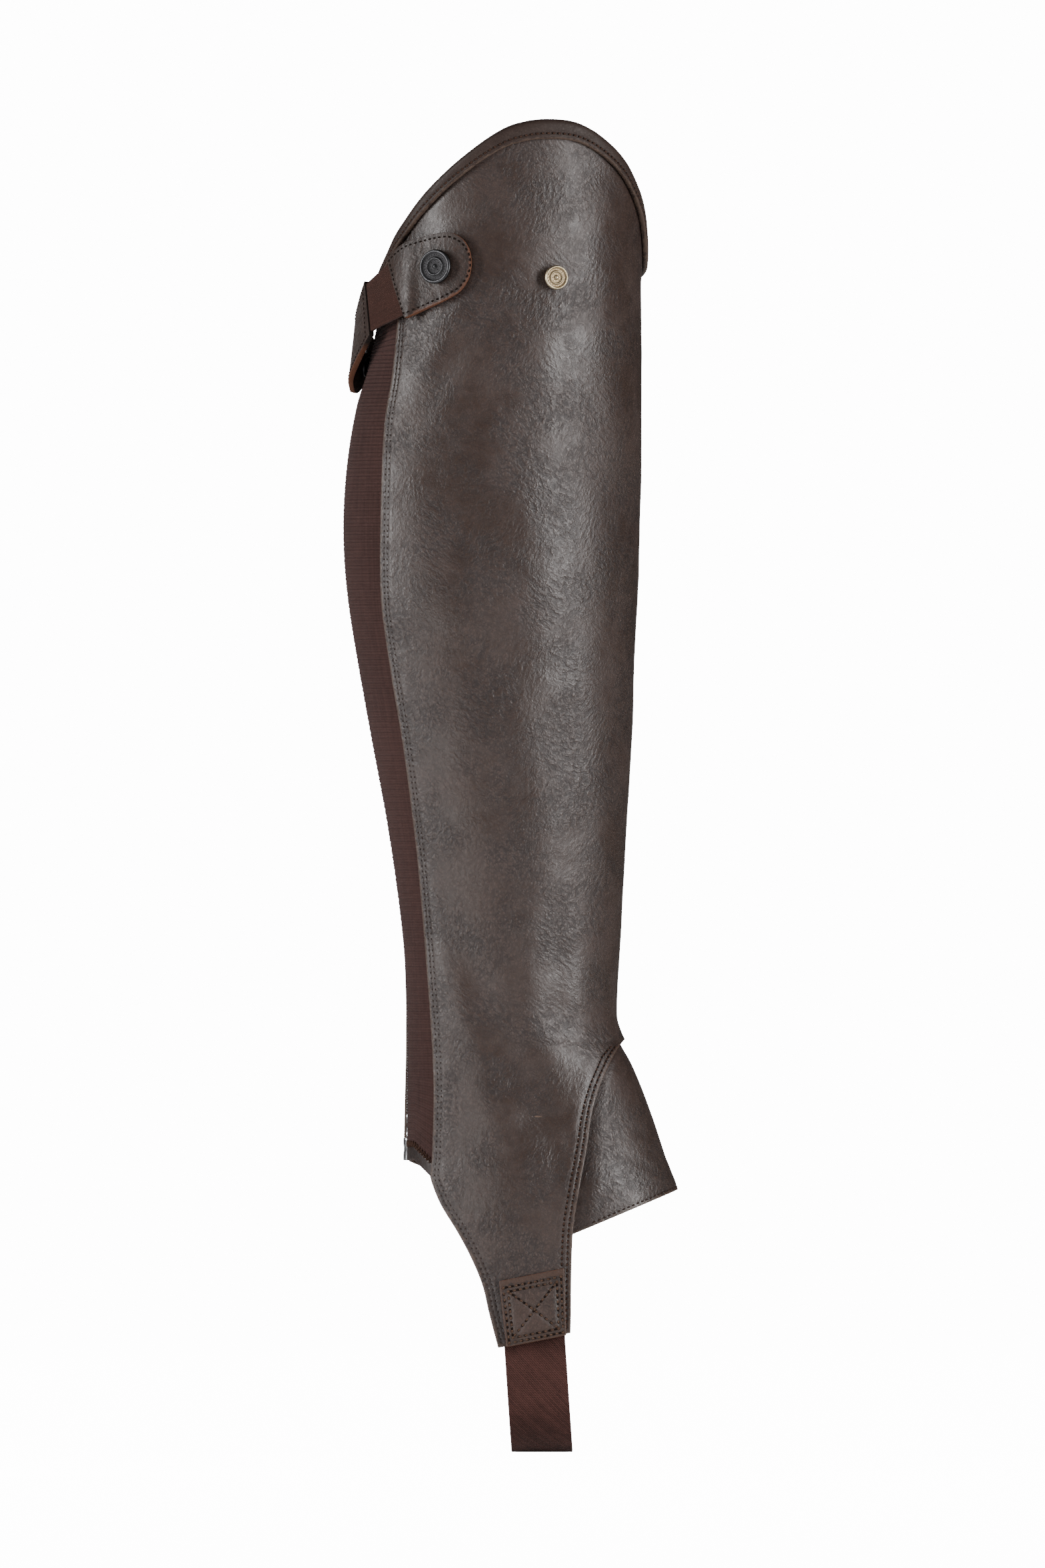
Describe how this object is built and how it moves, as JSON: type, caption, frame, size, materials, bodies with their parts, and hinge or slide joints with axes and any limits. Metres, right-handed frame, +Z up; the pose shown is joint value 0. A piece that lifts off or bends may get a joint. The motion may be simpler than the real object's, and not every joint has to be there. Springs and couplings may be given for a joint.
{
  "type": "half chap",
  "caption": "Leather half chap for a rider's lower right leg, with a back zip, a ribbed elastic gusset, a snap strap at the top and an elastic stirrup under the boot.",
  "frame": {"origin": "middle of the hollow at the height of the calf, where the wearer's leg holds the half chap", "axes": "+Z up the leg, +X to the toes, -Y to the outer side of the right leg"},
  "size_m": [0.1402, 0.1145, 0.5564],
  "materials": {
    "leather": "fine-grained, soft satin",
    "binding": "smooth satin",
    "elastic": "matte, ribbed",
    "strap_elastic": "matte twill",
    "zip_tape": "matte woven",
    "zip_metal": "satin",
    "snap_metal": "dark satin",
    "brass": "antique satin"
  },
  "bodies": {
    "root": {"leather_panel": "leather", "instep_piece": "leather", "gusset_hem": "leather", "patch_outer": "leather", "patch_inner": "leather", "strap_front_tab": "leather", "strap_back_tab": "leather", "top_band": "binding", "elastic_gusset": "elastic", "strap_elastic": "strap_elastic", "stirrup_elastic": "strap_elastic", "zip_tape_outer": "zip_tape", "zip_tape_inner": "zip_tape", "zip_chain": "zip_metal", "zip_pin": "zip_metal", "zip_box": "zip_metal", "zip_slider": "zip_metal", "zip_bridge": "zip_metal", "zip_pull": "zip_metal", "snap_front": "snap_metal", "snap_back_cap": "snap_metal", "snap_back_socket": "snap_metal", "snap_back_stud": "snap_metal", "gold_stud": "brass"}
  },
  "joints": []
}
